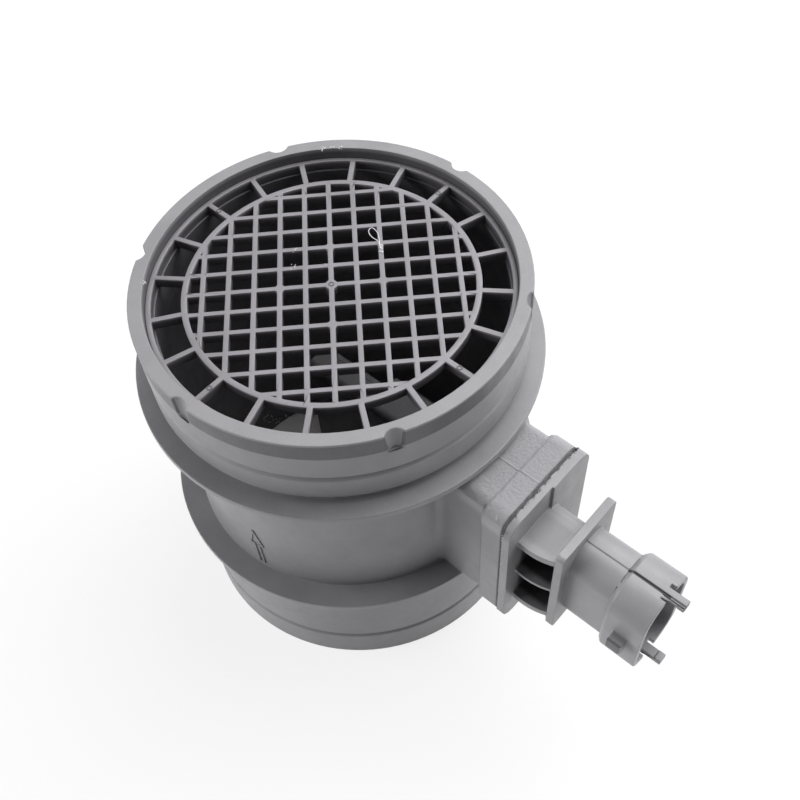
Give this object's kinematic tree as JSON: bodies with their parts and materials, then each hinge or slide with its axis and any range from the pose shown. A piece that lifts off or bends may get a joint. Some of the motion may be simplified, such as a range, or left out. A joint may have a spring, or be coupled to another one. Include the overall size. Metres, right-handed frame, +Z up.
{
  "type": "mass airflow sensor",
  "caption": "Round air-duct housing with two flanges and a lattice guard, carrying a plug-in hot-film air meter with a blade connector.",
  "frame": {"origin": "on the air tube's axis, in the plane of its plain end", "axes": "+Z up the tube's axis from the plain end to the grille end, +X out along the electrical connector"},
  "size_m": [0.1397, 0.0928, 0.0988],
  "materials": {
    "housing_plastic": "glass-filled nylon, moulded, satin",
    "module_plastic": "glass-filled polyester, moulded, satin",
    "seal_rubber": "moulded silicone rubber",
    "sealant": "squeezed-out adhesive",
    "carrier_aluminium": "stamped aluminium",
    "board_ceramic": "fired alumina",
    "chip_silicon": "polished silicon",
    "chip_package": "moulded epoxy",
    "capacitor_ceramic": "fired ceramic",
    "terminal_metal": "tin-plated bronze",
    "bond_metal": "bright aluminium ribbon",
    "thermistor_glass": "glass-coated bead"
  },
  "bodies": {
    "root": {"tube_housing": "housing_plastic", "guard_grille": "housing_plastic", "module_body": "module_plastic", "electronics_cover": "module_plastic", "channel_cover": "module_plastic", "port_seal": "seal_rubber", "joint_sealant": "sealant", "carrier_plate": "carrier_aluminium", "circuit_board": "board_ceramic", "control_chip": "chip_package", "filter_capacitor_1": "capacitor_ceramic", "filter_capacitor_2": "capacitor_ceramic", "sensor_carrier": "module_plastic", "sensor_chip": "chip_silicon", "terminal_bonds": "bond_metal", "sensor_bonds": "bond_metal", "thermistor": "thermistor_glass", "thermistor_leg_inner": "terminal_metal", "thermistor_leg_outer": "terminal_metal", "terminal_1": "terminal_metal", "terminal_2": "terminal_metal", "terminal_3": "terminal_metal", "terminal_4": "terminal_metal", "terminal_5": "terminal_metal"}
  },
  "joints": []
}
